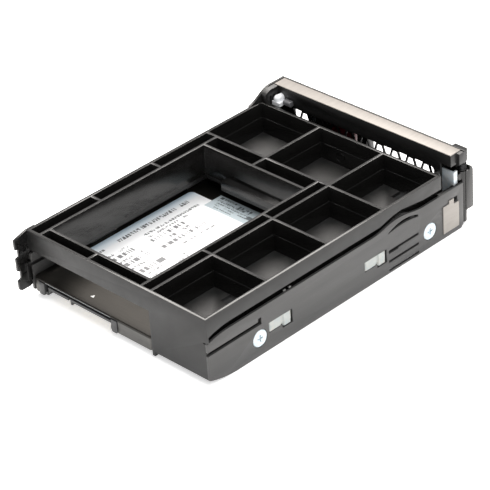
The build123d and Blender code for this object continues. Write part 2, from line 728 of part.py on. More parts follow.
def make_hinge_plate():
    """Zinc-plated plate that stiffens the hinge end of the bezel."""
    y1 = bezel_inner - 1.0
    y0 = y1 - 0.9
    far = half_width - flange_wall
    plate = block(-far + 0.1, hinge_x + 9.0, y0, y1, 3.0, rail_top + 3.6)
    plate = plate + block(-far + 0.1, hinge_x + 5.0, y0, y1, rail_top, 28.0)
    plate = plate + block(-half_width, -far + 0.2, y0, y1, rail_top, 28.0)
    plate = plate + block(-half_width, -half_width + 0.9, y0 - 1.4, y1, rail_top + 0.3, 28.0)
    for x, z in rivet_places():
        plate = plate - rod_y(x, y0 - 1, y1 + 1, z, 0.85)
    plate = plate - block(hinge_x + 8.0, hinge_x + 10, y0 - 1, y1 + 1, 12, 18)
    keep("hinge_plate", plate)
    rivets = []
    for x, z in rivet_places():
        shank = rod_y(x, y0 - 0.3, bezel_inner + 0.3, z, 0.8)
        rivets.append(shank + rod_y(x, bezel_inner, bezel_inner + 0.5, z, 1.5) + rod_y(x, y0 - 0.5, y0, z, 1.5))
    keep("hinge_plate_rivets", *rivets)


def make_pin():
    pin = rod(hinge_x, hinge_y, 2.0, bezel_top - 0.6, pin_r)
    ends = pin.edges().filter_by(GeomType.CIRCLE)
    keep("hinge_pin", chamfer(ends, 0.25))


def coil(x, y, z, r, wire, pitch, turns):
    """A helical wire standing on (x, y, z)."""
    path = Helix(pitch=pitch, height=pitch * turns, radius=r)
    section = Plane(origin=path @ 0, z_dir=path % 0) * Circle(wire / 2)
    return Location((x, y, z)) * sweep(section, path=path, is_frenet=True)


torsion_r = barrel_r - 0.35
torsion_turns = 4.25
torsion_pitch = 0.8


def torsion_top():
    """Height of the spring's upper leg, which bears on the bezel's front wall."""
    return barrel_top + 0.35 + torsion_pitch * torsion_turns


def torsion_leg_end():
    return hinge_x + 6.4


def make_torsion_spring():
    low = barrel_top + 0.35
    body = coil(hinge_x, hinge_y, low, torsion_r, spring_wire, torsion_pitch, torsion_turns)
    upper = rod_x(hinge_x - 0.2, torsion_leg_end(), hinge_y + torsion_r, torsion_top(), spring_wire / 2)
    lower = rod_y(hinge_x + torsion_r, hinge_y + 0.2, hinge_y - 0.6, low, spring_wire / 2)
    keep("torsion_spring", body + upper + lower)


# ---------------------------------------------------------------- handle and latch
def make_handle():
    end = half_width - 0.2
    bar = block(-outer, end, handle_front, handle_back, handle_bottom, handle_top)
    top_edge = bar.edges().filter_by(Axis.X).group_by(Axis.Y)[0].sort_by(Axis.Z)[-1]
    bar = fillet(top_edge, handle_round)
    low_edge = bar.edges().filter_by(Axis.X).group_by(Axis.Y)[0].sort_by(Axis.Z)[0]
    bar = fillet(low_edge, 1.0)
    for x0, x1 in handle_windows:
        hole = block(x0, x1, handle_front - 1, handle_back + 1, handle_window_low, handle_window_high)
        bar = bar - fillet(hole.edges().filter_by(Axis.Y), 2.0)
    # barrel round the pin, with a short ejector lug
    bar = bar - block(-outer - 1, hinge_x + 4.6, handle_front - 1, handle_back + 1, 0, barrel_bottom)
    bar = bar + rod(hinge_x, hinge_y, barrel_bottom, barrel_top, barrel_r)
    bar = bar - block(-outer - 1, hinge_x + 4.6, hinge_y - 2.2, handle_back + 1, barrel_top, handle_top + 1)
    low_end = block(-outer - 1, hinge_x + 4.6, handle_front, handle_back + 2, rail_top, handle_end_top)
    low_end = fillet(low_end.edges().filter_by(Axis.X).group_by(Axis.Y)[0].sort_by(Axis.Z)[-1], handle_round - 0.6)
    bar = bar - (block(-outer - 1, hinge_x + 4.6, handle_front - 1, handle_back + 1, rail_top + 1, handle_top + 1)
                 - low_end)
    lug = block(hinge_x - 1.1, hinge_x + 0.6, hinge_y + 1.0, hinge_y + 4.2, rail_top + 0.7, rail_top + 3.8)
    bar = bar + lug
    bar = bar - rod(hinge_x, hinge_y, 0, handle_top + 1, pin_r + pin_gap)
    # pocket, neck slot and channel for the latch
    g = assembly_gap
    right = latch_left + latch_width
    bar = bar - block(latch_left - latch_travel - g, right + g, handle_front - 1, handle_back + 1,
                      latch_low - g, latch_high + g)
    bar = bar - block(right - 6.0 - latch_travel - g, right - 1.0 + g, handle_back - 2.0 - g, handle_back + 1,
                      latch_high, latch_bar_low)
    bar = bar - block(spring_end(), end + 1, handle_back - 2.0 - g, handle_back + 1,
                      latch_bar_low - g, latch_bar_high + g)
    bar = bar - block(half_width - 4.6, end + 1, handle_front - 1, handle_front + handle_end_cut,
                      handle_bottom - 1, handle_top + 1)
    # recess for the label plate
    x0, x1 = label_span()
    bar = bar - block(x0, x1, handle_front - 1, handle_front + 0.5, handle_bottom + 3.4, handle_top - 8.6)
    keep("handle", bar)


def label_span():
    """Left and right ends of the blank label plate on the handle."""
    return latch_left + latch_width + 2.4, handle_windows[1][0] - 2.4


def spring_end():
    """Left end of the latch channel, where the latch spring rests."""
    return latch_left + latch_width - 6.0 - latch_travel - 8.0


def make_label_plate():
    x0, x1 = label_span()
    g = 0.05
    plate = block(x0 + g, x1 - g, handle_front, handle_front + 0.5, handle_bottom + 3.4 + g,
                  handle_top - 8.6 - g)
    keep("handle_label_plate", plate)


def make_latch():
    right = latch_left + latch_width
    y1 = handle_back - 0.2
    y0 = y1 - 1.8
    end = latch_end()
    pad = block(latch_left, right, handle_front + 0.1, y1, latch_low, latch_high)
    pad = pad - block(latch_left + 1.6, right - 1.6, handle_front + 1.9, y1 + 1, latch_low + 1.6, latch_high - 1.6)
    for i in range(4):
        x = latch_left + 2.6 + i * 2.6
        pad = pad - block(x, x + 1.0, handle_front - 1, handle_front + 0.6, latch_low + 1.5, latch_high - 1.5)
    neck = block(right - 6.0, right - 1.0, y0, y1, latch_high - 0.1, latch_bar_low + 0.1)
    bar = block(right - 6.0, end, y0, y1, latch_bar_low, latch_bar_high)
    nose = block(end - latch_nose, end, y1 - 0.5, grille_y + 0.3, latch_bar_low, latch_bar_high)
    latch = pad + neck + bar + nose
    tip = latch.edges().filter_by(Axis.Z).sort_by(Axis.Y)[-2:]
    latch = chamfer(tip.sort_by(Axis.X)[-1], 0.8)
    keep("release_latch", latch)


def make_latch_spring():
    right = latch_left + latch_width
    x0 = spring_end() + 0.25
    length = right - 6.0 - 0.25 - x0
    turns = 9
    r = 0.65
    spring = coil(0, 0, 0, r, latch_wire, length / turns, turns)
    turned = Location((x0, handle_back - 1.1, (latch_bar_low + latch_bar_high) / 2), (0, 90, 0)) * spring
    keep("latch_spring", turned)


# ---------------------------------------------------------------- disk
def plug_span():
    middle = disk_centre_x + plug_offset
    return middle - plug_width / 2, middle + plug_width / 2


def make_disk_base():
    z0 = disk_bottom
    z1 = disk_top - disk_cover
    shell = block(disk_left, disk_right, disk_front, tray_end, z0, z1)
    shell = fillet(shell.edges().filter_by(Axis.Z), 1.6)
    shell = fillet(shell.edges().group_by(Axis.Z)[0], 0.5)
    w = disk_wall
    hollow = block(disk_left + w, disk_right - w, disk_front + w, tray_end - w, z0 + w, z1 + 1)
    shell = shell - hollow
    # bosses round the mounting holes, tied to the side walls
    for x, y in disk_hole_places():
        side = 1 if x > disk_centre_x else -1
        wall = disk_right if side > 0 else disk_left
        boss = block(x - side * 3.0, wall - side * 0.2, y - 3.2, y + 3.2, z0 + 0.2, z1)
        shell = shell + boss
        shell = shell - rod(x, y, z0 - 1, z0 + 2.6, small_shank_r + thread_gap)
        z = z0 + disk_side_hole
        tip = wall - side * 2.6
        shell = shell - rod_x(wall + side, tip, y, z, rail_shank_r)
    # posts for the case screws
    for x, y in case_screw_places():
        post = block(x - 2.0, x + 2.0, y - 2.0, y + 2.0, z0 + 0.5, z1)
        shell = shell + post - rod(x, y, z1 - 3.6, z1 + 1, 0.85)
    # opening for the plug
    x0, x1 = plug_span()
    g = 0.25
    shell = shell - block(x0 - g, x1 + g, tray_end - 8.2 - g, tray_end + 1, z0 - 1, z1 + 1)
    keep("disk_base", shell)


def case_screw_places():
    """Middles of the four case screws, which the main label covers."""
    inset = 4.2
    return [(x, y) for x in (disk_left + inset, disk_right - inset)
            for y in (disk_front + inset + 12.0, tray_end - inset - 17.3)]


def make_disk_cover():
    z0 = disk_top - disk_cover
    cover = block(disk_left, disk_right, disk_front, tray_end, z0, disk_top)
    cover = fillet(cover.edges().filter_by(Axis.Z), 1.6)
    cover = chamfer(cover.edges().group_by(Axis.Z)[-1], 0.35)
    for x, y in case_screw_places():
        cover = cover - rod(x, y, z0 - 1, disk_top + 1, 1.0) - rod(x, y, disk_top - 0.6, disk_top + 1, 1.9)
    x0, x1 = plug_span()
    cover = cover - block(x0 - 0.25, x1 + 0.25, tray_end - 2.2, tray_end + 1, z0 - 1, z0 + 0.4)
    keep("disk_cover", cover)
    screws = []
    for x, y in case_screw_places():
        screw = rod(x, y, z0 - 3.0, disk_top - 0.5, 0.8) + rod(x, y, disk_top - 0.6, disk_top - 0.1, 1.8)
        for turn in (0, 60, 120):
            blade = Box(1.7, 0.35, 1.0)
            screw = screw - Location((x, y, disk_top), (0, 0, turn)) * blade
        screws.append(screw)
    keep("case_screws", *screws)


board_low = disk_bottom + disk_wall + 0.9
board_high = board_low + 0.9


def board_span():
    return disk_left + 7.5, disk_right - 7.5, disk_front + 2.5, tray_end - 8.6


def make_board():
    x0, x1, y0, y1 = board_span()
    board = block(x0, x1, y0, y1, board_low, board_high)
    for x in (x0, x1):
        for y in (y0 + 12, y0 + 50):
            board = board - rod(x, y, board_low - 1, board_high + 1, 1.6)
    posts = []
    for x in (x0 + 4, x1 - 4):
        for y in (y0 + 4, y1 - 4):
            board = board - rod(x, y, board_low - 1, board_high + 1, 0.9)
            foot = rod(x, y, disk_bottom + disk_wall, board_low, 1.6)
            posts.append(foot + rod(x, y, board_low, board_high + 0.3, 0.85))
    keep("circuit_board", board)
    keep("board_posts", *posts)


def chip(x, y, width, length, height):
    package = block(x - width / 2, x + width / 2, y - length / 2, y + length / 2, board_high,
                    board_high + height)
    return chamfer(package.edges().group_by(Axis.Z)[-1], 0.12)


def flash_places():
    x0, x1, y0, y1 = board_span()
    return [(x, y) for x in (x0 + 11, x1 - 11) for y in (y0 + 12, y0 + 28)]


def make_chips():
    x0, x1, y0, y1 = board_span()
    middle = (x0 + x1) / 2
    keep("flash_chips", *[chip(x, y, 14, 12, 1.0) for x, y in flash_places()])
    keep("controller_chip", chip(middle, y0 + 56, 17, 17, 1.2))
    keep("memory_chip", chip(middle - 17, y0 + 56, 9, 11, 0.9))
    caps = []
    for i in range(5):
        x = middle + 12 + 2.9 * i
        caps.append(block(x - 1.1, x + 1.1, y0 + 49, y0 + 56.3, board_high, board_high + 1.9))
    keep("hold_up_capacitors", *caps)
    pads = []
    gap = disk_top - disk_cover - board_high
    for x, y in flash_places():
        pads.append(block(x - 5.5, x + 5.5, y - 5, y + 5, board_high + 1.0, board_high + gap))
    pads.append(block(middle - 7, middle + 7, y0 + 49, y0 + 63, board_high + 1.2, board_high + gap))
    keep("thermal_pads", *pads)


def make_plug():
    """Edge plug: two blade tongues, data and power, between two end posts."""
    x0, x1 = plug_span()
    z0 = disk_bottom - 0.1
    z1 = disk_top - disk_cover - 0.1
    back = block(x0, x1, tray_end - 8.2, tray_end - 6.2, z0 + 0.2, z1)
    plug = back
    for x, toward in ((x0, 1), (x1, -1)):
        post = block(x, x + toward * plug_post, tray_end - 7, tray_end + 0.3, z0, z1)
        plug = plug + fillet(post.edges().filter_by(Axis.Y).group_by(Axis.Z)[0], 0.9)
        step = block(x + toward * (plug_post - 0.5), x + toward * (plug_post + 1.2), tray_end - 7, tray_end - 0.4,
                     z0 + 0.4, z0 + 1.9)
        plug = plug + step
    for a, b in tongue_spans():
        plug = plug + block(a, b, tray_end - 7, tray_end - 0.6, tongue_low, tongue_low + 1.2)
        plug = plug + block(b - 1.1, b, tray_end - 7, tray_end - 0.6, tongue_low - 1.4, tongue_low + 0.1)
    foot = block(x0 + 1.0, x1 - 1.0, tray_end - 9.6, tray_end - 8.1, board_high, board_high + 1.6)
    keep("edge_plug", plug + foot)
    pads = []
    for (a, b), count in zip(tongue_spans(), (15, 7)):
        pitch = (b - 1.6 - a) / count
        for i in range(count):
            x = a + 0.4 + (i + 0.5) * pitch
            pads.append(block(x - 0.3, x + 0.3, tray_end - 6.2, tray_end - 1.0, tongue_low - 0.15, tongue_low))
    keep("plug_contacts", *pads)


tongue_low = disk_bottom + 2.9


def tongue_spans():
    """Left and right ends of the power tongue and of the data tongue."""
    x0, x1 = plug_span()
    end = plug_post + 1.4
    split = x0 + end + (x1 - x0 - 2 * end) * 0.64
    return [(x0 + end, split), (split + 1.2, x1 - end)]


def make_labels():
    t = 0.12
    x0 = disk_left + 2.2
    x1 = disk_right - 2.8
    y1 = tray_end - 13.5
    small_x0 = disk_centre_x - 6.2
    small_x1 = disk_centre_x + 19.3
    small_y0 = label_front - 5.5
    small_y1 = label_front + 4.8
    main = block(x0, x1, label_front, y1, disk_top, disk_top + t)
    main = fillet(main.edges().filter_by(Axis.Z), 2.2)
    keep("main_label", main)
    small = block(small_x0, small_x1, small_y0, small_y1, disk_top, disk_top + 2 * t)
    small = small - block(small_x0 - 1, small_x1 + 1, label_front - thread_gap, small_y1 + 1, disk_top - 1, disk_top + t)
    keep("rating_label", small)


def make_disk_screws():
    screws = []
    for x, y in disk_hole_places():
        head = Location((x, y, skirt_bottom + 0.65)) * Cone(small_head_r, small_shank_r, 1.3)
        shank = rod(x, y, skirt_bottom + 1.2, disk_bottom + 2.2, small_shank_r)
        screw = head + shank
        for dx, dy in ((1.5, 0.35), (0.35, 1.5)):
            screw = screw - block(x - dx, x + dx, y - dy, y + dy, skirt_bottom - 1, skirt_bottom + 0.8)
        screws.append(screw)
    keep("disk_screws", *screws)


def write_all():
    """Move the origin to the middle of the underside and write each node."""
    boxes = [shape.bounding_box() for shape in nodes.values()]
    x0, x1 = min(b.min.X for b in boxes), max(b.max.X for b in boxes)
    y0, y1 = min(b.min.Y for b in boxes), max(b.max.Y for b in boxes)
    z0, z1 = min(b.min.Z for b in boxes), max(b.max.Z for b in boxes)
    shift = Location((-(x0 + x1) / 2, -(y0 + y1) / 2, -z0))
    os.makedirs("parts", exist_ok=True)
    for name, shape in nodes.items():
        export_step(shift * shape, "parts/" + name + ".step")
    print("origin shift", shift.position, "size", x1 - x0, y1 - y0, z1 - z0)


make_tray()
make_rail(-1, "left_rail")
make_rail(1, "right_rail")
make_rear_guide()
make_rail_screws()
make_leaf_springs()
make_frame_screws()
make_gasket(-1, "left_gasket")
make_gasket(1, "right_gasket")
make_bezel()
make_grille()
make_top_gasket()
make_light_pipe()
make_hinge_plate()
make_pin()
make_torsion_spring()
make_handle()
make_label_plate()
make_latch()
make_latch_spring()
make_disk_base()
make_disk_cover()
make_board()
make_chips()
make_plug()
make_labels()
make_disk_screws()
write_all()
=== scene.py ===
import json
import math

import bpy
from bpy.props import FloatProperty, FloatVectorProperty, PointerProperty
from mathutils import Matrix, Vector


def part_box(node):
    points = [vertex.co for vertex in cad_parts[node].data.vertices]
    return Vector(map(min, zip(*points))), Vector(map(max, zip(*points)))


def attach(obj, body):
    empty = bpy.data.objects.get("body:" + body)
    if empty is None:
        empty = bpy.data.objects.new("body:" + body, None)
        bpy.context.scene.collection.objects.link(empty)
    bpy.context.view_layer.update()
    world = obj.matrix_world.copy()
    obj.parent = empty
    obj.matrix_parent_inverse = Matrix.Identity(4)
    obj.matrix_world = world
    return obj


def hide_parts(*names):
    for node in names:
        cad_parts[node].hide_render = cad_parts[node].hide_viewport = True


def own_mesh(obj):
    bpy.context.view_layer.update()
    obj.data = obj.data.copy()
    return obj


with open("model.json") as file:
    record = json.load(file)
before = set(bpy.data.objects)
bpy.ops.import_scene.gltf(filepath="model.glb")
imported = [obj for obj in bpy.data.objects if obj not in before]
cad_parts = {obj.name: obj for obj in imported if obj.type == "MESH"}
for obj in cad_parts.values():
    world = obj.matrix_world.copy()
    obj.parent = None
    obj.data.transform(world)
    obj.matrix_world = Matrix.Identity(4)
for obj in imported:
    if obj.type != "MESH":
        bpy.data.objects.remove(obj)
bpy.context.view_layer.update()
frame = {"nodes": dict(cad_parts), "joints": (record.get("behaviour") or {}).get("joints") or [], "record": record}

bl_info = {
    "name": "Hot-swap disk drive",
    "version": (1, 0, 0),
    "blender": (4, 5, 0),
    "location": "View3D > Sidebar > Disk drive",
    "description": "Finishes and fine pieces of a hot-swap carrier with a small solid-state disk",
    "category": "Object",
}

MM = 0.001
WELD = 0.002 * MM                        # points closer than this are one point
FLAT = math.radians(0.4)                 # faces that turn by less are one face
SHARP = math.radians(32.0)               # edges that turn by more are rounded
SMOOTH_BELOW = math.radians(40.0)        # shading runs on over edges that turn by less
NEUTRAL = (1.0, 1.0, 1.0)
DUST = (0.30, 0.29, 0.27)
THREAD_MM = 0.34                         # repeat of the gasket cloth's weave
TRACK_MM = 0.9                           # pitch of the board's copper tracks
TRACK_RUN_MM = 6.0                       # length over which a track is there or not


# ---------------------------------------------------------------- sizes and colours
class CarrierSizes(bpy.types.PropertyGroup):
    """Sizes of the fine work on the carrier."""
    edge_round: FloatProperty(name="Edge rounding", description="Rounding of the moulded edges",
                              default=0.28 * MM, unit="LENGTH", precision=5)
    sheet_round: FloatProperty(name="Sheet rounding", description="Rounding of the stamped edges",
                               default=0.16 * MM, unit="LENGTH", precision=5)


class DiskSizes(bpy.types.PropertyGroup):
    """Sizes of the fine work on the disk."""
    arrow_size: FloatProperty(name="Arrow", description="Circle round the printed arrow",
                              default=2.2 * MM, unit="LENGTH", precision=5)
    print_height: FloatProperty(name="Print height", description="Thickness of printed ink",
                                default=0.02 * MM, unit="LENGTH", precision=6)


class Colours(bpy.types.PropertyGroup):
    """Colours of the finishes, as linear values."""
    tray: FloatVectorProperty(name="Tray", description="Moulded tray", subtype="COLOR", size=3,
                              default=(0.0055, 0.0053, 0.0050), min=0, max=1)
    rail: FloatVectorProperty(name="Rails", description="Painted side rails", subtype="COLOR", size=3,
                              default=(0.052, 0.051, 0.050), min=0, max=1)
    bezel: FloatVectorProperty(name="Bezel", description="Moulded bezel", subtype="COLOR", size=3,
                               default=(0.0085, 0.0082, 0.008), min=0, max=1)
    handle: FloatVectorProperty(name="Handle", description="Moulded handle", subtype="COLOR", size=3,
                                default=(0.006, 0.0055, 0.005), min=0, max=1)
    latch: FloatVectorProperty(name="Latch", description="Moulded latch", subtype="COLOR", size=3,
                               default=(0.13, 0.004, 0.012), min=0, max=1)
    cloth: FloatVectorProperty(name="Gasket cloth", description="Conductive cloth", subtype="COLOR", size=3,
                               default=(0.33, 0.305, 0.28), min=0, max=1)
    paper: FloatVectorProperty(name="Label", description="Coated label stock", subtype="COLOR", size=3,
                               default=(0.93, 0.94, 0.95), min=0, max=1)
    ink: FloatVectorProperty(name="Ink", description="Print on the labels", subtype="COLOR", size=3,
                             default=(0.05, 0.05, 0.055), min=0, max=1)


class Stage(bpy.types.PropertyGroup):
    """The floor, the camera and the light."""
    floor_size: FloatProperty(name="Floor", description="Side of the floor", default=6.0, unit="LENGTH")
    lens: FloatProperty(name="Lens", description="Focal length, mm", default=177.98)
    camera_place: FloatVectorProperty(name="Camera", description="Camera's place", subtype="TRANSLATION",
                                      size=3, default=(-0.61894, 0.58793, 0.54463))
    azimuth: FloatProperty(name="Azimuth", description="Camera's direction round the object",
                           default=3.954843, subtype="ANGLE")
    elevation: FloatProperty(name="Elevation", description="Camera's height above the horizon",
                             default=0.561801, subtype="ANGLE")
    roll: FloatProperty(name="Roll", description="Camera's turn about its own axis", default=-0.070687,
                        subtype="ANGLE")
    sky: FloatProperty(name="Surroundings", description="Strength of the white surroundings", default=0.5)


# ---------------------------------------------------------------- shader arithmetic
class Signal:
    """A socket that can be used in arithmetic; each operation adds its Math node."""

    def __init__(self, finish, socket):
        self.finish = finish
        self.socket = socket

    def maths(self, operation, *values):
        made = self.finish.node("ShaderNodeMath", {"operation": operation}, dict(enumerate(values)))
        return Signal(self.finish, made.outputs[0])

    def __add__(self, other):
        return self.maths("ADD", self, other)

    def __radd__(self, other):
        return self.maths("ADD", other, self)

    def __sub__(self, other):
        return self.maths("SUBTRACT", self, other)

    def __rsub__(self, other):
        return self.maths("SUBTRACT", other, self)

    def __mul__(self, other):
        return self.maths("MULTIPLY", self, other)

    def __rmul__(self, other):
        return self.maths("MULTIPLY", other, self)

    def __truediv__(self, other):
        return self.maths("DIVIDE", self, other)

    def __gt__(self, other):
        return self.maths("GREATER_THAN", self, other)

    def __lt__(self, other):
        return self.maths("LESS_THAN", self, other)

    def floor(self):
        return self.maths("FLOOR", self)

    def fraction(self):
        return self.maths("FRACT", self)

    def sine(self):
        return self.maths("SINE", self)

    def size(self):
        return self.maths("ABSOLUTE", self)

    def most(self, other):
        return self.maths("MAXIMUM", self, other)

    def between(self, low, high):
        """1 where the value lies between low and high."""
        return (self > low) * (self < high)

    def ramp(self, low, high):
        """0 at low and 1 at high, straight between, clamped."""
        made = self.finish.node("ShaderNodeMapRange", {"clamp": True},
                                {"Value": self, "From Min": low, "From Max": high})
        return Signal(self.finish, made.outputs["Result"])


class Finish:
    """A node material being made."""

    def __init__(self, name):
        self.material = bpy.data.materials.new(name)
        self.material.use_nodes = True
        self.tree = self.material.node_tree
        self.tree.nodes.clear()
        self.place = self.node("ShaderNodeTexCoord").outputs["Object"]

    def node(self, kind, settings=None, inputs=None):
        """Adds a node, sets it up, and then fills its sockets with values or links."""
        made = self.tree.nodes.new(kind)
        for key, value in (settings or {}).items():
            if key == "stops":
                self.set_stops(made.color_ramp, value)
            else:
                setattr(made, key, value)
        for key, value in (inputs or {}).items():
            if isinstance(value, Signal):
                value = value.socket
            if isinstance(value, bpy.types.NodeSocket):
                self.tree.links.new(value, made.inputs[key])
            elif value is not None:
                made.inputs[key].default_value = value
        return made

    @staticmethod
    def set_stops(ramp, stops):
        while len(ramp.elements) < len(stops):
            ramp.elements.new(0.5)
        for element, (position, colour) in zip(ramp.elements, stops):
            element.position = position
            element.color = (*colour, 1.0)

    def signal(self, made, output=0):
        return Signal(self, made.outputs[output])

    def axes(self):
        """The three coordinates of the point, in millimetres."""
        split = self.node("ShaderNodeSeparateXYZ", inputs={0: self.place})
        return [self.signal(split, i) * (1.0 / MM) for i in range(3)]

    def stretched(self, stretch):
        """The point's place, scaled, so that a pattern on it grows longer one way."""
        mapped = self.node("ShaderNodeMapping", {"vector_type": "POINT"},
                           {"Vector": self.place, "Scale": stretch})
        return mapped.outputs["Vector"]

    def noise(self, size_mm, detail=2.0, roughness=0.5, stretch=None):
        """Smooth noise, 0 to 1, with blobs of about this size."""
        vector = self.stretched(stretch) if stretch else self.place
        made = self.node("ShaderNodeTexNoise", {"noise_dimensions": "3D"},
                         {"Vector": vector, "Scale": 1.0 / (size_mm * MM), "Detail": detail,
                          "Roughness": roughness})
        return self.signal(made)

    def cells(self, size_mm):
        """Distance to the nearest of scattered points, in cells."""
        made = self.node("ShaderNodeTexVoronoi", {"feature": "F1"},
                         {"Vector": self.place, "Scale": 1.0 / (size_mm * MM)})
        return self.signal(made)

    def chance(self, *values):
        """A number from 0 to 1 that jumps from cell to cell."""
        joined = self.node("ShaderNodeCombineXYZ", inputs=dict(enumerate(values)))
        made = self.node("ShaderNodeTexWhiteNoise", {"noise_dimensions": "3D"},
                         {"Vector": joined.outputs[0]})
        return self.signal(made, "Value")

    def tint(self, base, other, mask):
        """Colour that goes from base to other as mask goes from 0 to 1."""
        def value(colour):
            return colour if isinstance(colour, bpy.types.NodeSocket) else (*colour, 1.0)
        made = self.node("ShaderNodeMix", {"data_type": "RGBA"},
                         {0: mask, 6: value(base), 7: value(other)})
        return made.outputs[2]

    def relief(self, height, distance_mm):
        """Bumps of this height, for the shader's normal."""
        made = self.node("ShaderNodeBump", None,
                         {"Height": height, "Distance": distance_mm * MM, "Strength": 1.0})
        return made.outputs["Normal"]

    def surface(self, colour, roughness, metallic=0.0, coat=0.0, normal=None, fixed=None):
        """Ends the material in one Principled shader and returns it."""
        if not isinstance(colour, bpy.types.NodeSocket):
            colour = (*colour, 1.0)
        inputs = {"Base Color": colour, "Roughness": roughness, "Metallic": metallic, "Coat Weight": coat,
                  "Normal": normal}
        inputs.update(fixed or {})
        shader = self.node("ShaderNodeBsdfPrincipled", None, inputs)
        self.node("ShaderNodeOutputMaterial", None, {"Surface": shader.outputs[0]})
        return self.material


def shade(colour, factor):
    """The colour made darker or lighter."""
    return tuple(min(1.0, c * factor) for c in colour)


# ---------------------------------------------------------------- finishes
def moulded(name, colour, gloss=0.3, coarse=None):
    """Injection-moulded plastic: fine spark texture, faint flow streaks, handling smears and dust.

    coarse, if given, holds the height below which, and the X and Y beyond which, the surface is
    more matt, as on the floors of deep pockets and on the outside. All are in millimetres.
    """
    f = Finish(name)
    grain = f.noise(0.35, detail=3.0, roughness=0.6)
    flow = f.noise(14.0, detail=2.0, stretch=(1.0, 0.25, 1.0))
    smear = f.noise(6.0, detail=4.0, roughness=0.62)
    dust = f.cells(1.4).ramp(0.075, 0.03) * f.noise(9.0).ramp(0.52, 0.72)
    mask = flow.ramp(0.35, 0.7) * 0.5 + smear.ramp(0.5, 0.8) * 0.35
    base = f.tint(shade(colour, 0.82), shade(colour, 1.35), mask)
    base = f.tint(base, DUST, dust * 0.05)
    rough = gloss + smear.ramp(0.35, 0.75) * 0.08 + grain * 0.04 + dust * 0.2
    if coarse is not None:
        x, y, z = f.axes()
        floor_mm, side_mm, rear_mm = coarse
        outside = x.ramp(side_mm + 0.3, side_mm).most(y.ramp(rear_mm - 0.3, rear_mm))
        rough = rough + z.ramp(floor_mm + 0.2, floor_mm).most(outside) * 0.28
    return f.surface(base, rough, normal=f.relief(grain, 0.006))


def painted(name, colour, gloss=0.42):
    """Stamped steel under satin paint: orange peel, long rolling marks and fine scuffs."""
    f = Finish(name)
    peel = f.noise(0.55, detail=2.0)
    fine = f.noise(0.16, detail=1.0)
    rolled = f.noise(3.0, detail=3.0, stretch=(1.0, 0.06, 1.0))
    scuff = f.noise(1.1, detail=2.0, stretch=(1.0, 0.12, 1.4)).ramp(0.66, 0.74)
    cloud = f.noise(22.0, detail=1.0)
    mask = rolled.ramp(0.3, 0.72) * 0.55 + cloud.ramp(0.3, 0.7) * 0.45
    base = f.tint(shade(colour, 0.86), shade(colour, 1.16), mask)
    base = f.tint(base, shade(colour, 1.9), scuff * 0.25)
    rough = gloss + peel * 0.08 + scuff * 0.12 - rolled.ramp(0.4, 0.8) * 0.05
    height = peel * 0.75 + fine * 0.25
    return f.surface(base, rough, normal=f.relief(height, 0.02))


def plated(name, colour, gloss=0.26, tone=NEUTRAL):
    """Bright plated steel: passivation tints, fine drawn lines and a few pits."""
    f = Finish(name)
    lines = f.noise(0.3, detail=2.0, stretch=(1.0, 0.15, 1.0))
    film = f.noise(2.6, detail=2.0)
    pit = f.cells(0.7).ramp(0.10, 0.04)
    tinted = tuple(c * t for c, t in zip(colour, tone))
    base = f.tint(colour, tinted, film.ramp(0.35, 0.68))
    base = f.tint(base, shade(colour, 0.6), pit * 0.4)
    rough = gloss + lines * 0.12 + pit * 0.2
    return f.surface(base, rough, metallic=1.0, normal=f.relief(lines, 0.006))


def zinc(name, colour):
    """Zinc plating with a pale passivated skin: cloudy, and half matt."""
    f = Finish(name)
    cloud = f.noise(1.6, detail=3.0)
    speck = f.noise(0.2, detail=2.0)
    cool = (colour[0] * 0.84, colour[1] * 0.93, colour[2])
    base = f.tint(colour, cool, cloud.ramp(0.35, 0.68))
    base = f.tint(base, shade(colour, 0.72), speck.ramp(0.58, 0.75) * 0.6)
    rough = 0.36 + cloud * 0.12 + speck * 0.06
    return f.surface(base, rough, metallic=0.45, normal=f.relief(speck, 0.004))


def drawn_wire(name, colour):
    """Spring wire with a dull drawn skin."""
    f = Finish(name)
    skin = f.noise(0.25, detail=2.0)
    base = f.tint(shade(colour, 0.7), colour, skin.ramp(0.3, 0.7))
    return f.surface(base, 0.3 + skin * 0.15, metallic=1.0, normal=f.relief(skin, 0.004))


def conductive_cloth(name, colour):
    """Metallised cloth over foam: plain weave, cross-wise wrinkles with painted shade in their hollows, and a soft
    metal sheen.
    """
    f = Finish(name)
    x, y, z = f.axes()
    turns = 2 * math.pi / THREAD_MM
    warp = (x * turns).sine()
    weft = ((y + z) * turns).sine()
    weave = warp * weft * 0.5 + 0.5
    crease_and_shade = f.noise(1.5, detail=3.0, stretch=(1.0, 0.12, 1.0))
    folds_and_shade = f.noise(0.9, detail=1.0, stretch=(1.0, 0.05, 0.3)).ramp(0.45, 0.75)
    # Painted shade: the colour is darker in the hollows of the creases and folds and lighter on their ridges; the
    # weave adds the cloth's own pattern of light and dark threads.
    mask = weave * 0.35 + crease_and_shade.ramp(0.3, 0.7) * 0.4 + folds_and_shade * 0.25
    base = f.tint(shade(colour, 0.84), shade(colour, 1.12), mask)
    rough = 0.5 - weave * 0.1 + crease_and_shade * 0.1
    height = weave * 0.25 + crease_and_shade * 0.6 + folds_and_shade * 0.5
    return f.surface(base, rough, metallic=0.25, normal=f.relief(height, 0.05))


def anodised(name, colour):
    """Dark brushed and anodised sheet."""
    f = Finish(name)
    brush = f.noise(0.5, detail=4.0, roughness=0.7, stretch=(0.05, 1.0, 1.0))
    cloud = f.noise(12.0, detail=2.0)
    base = f.tint(shade(colour, 0.75), shade(colour, 1.3), brush.ramp(0.3, 0.7) * 0.6 + cloud * 0.4)
    rough = 0.34 + brush * 0.14
    return f.surface(base, rough, metallic=0.85, normal=f.relief(brush, 0.006))


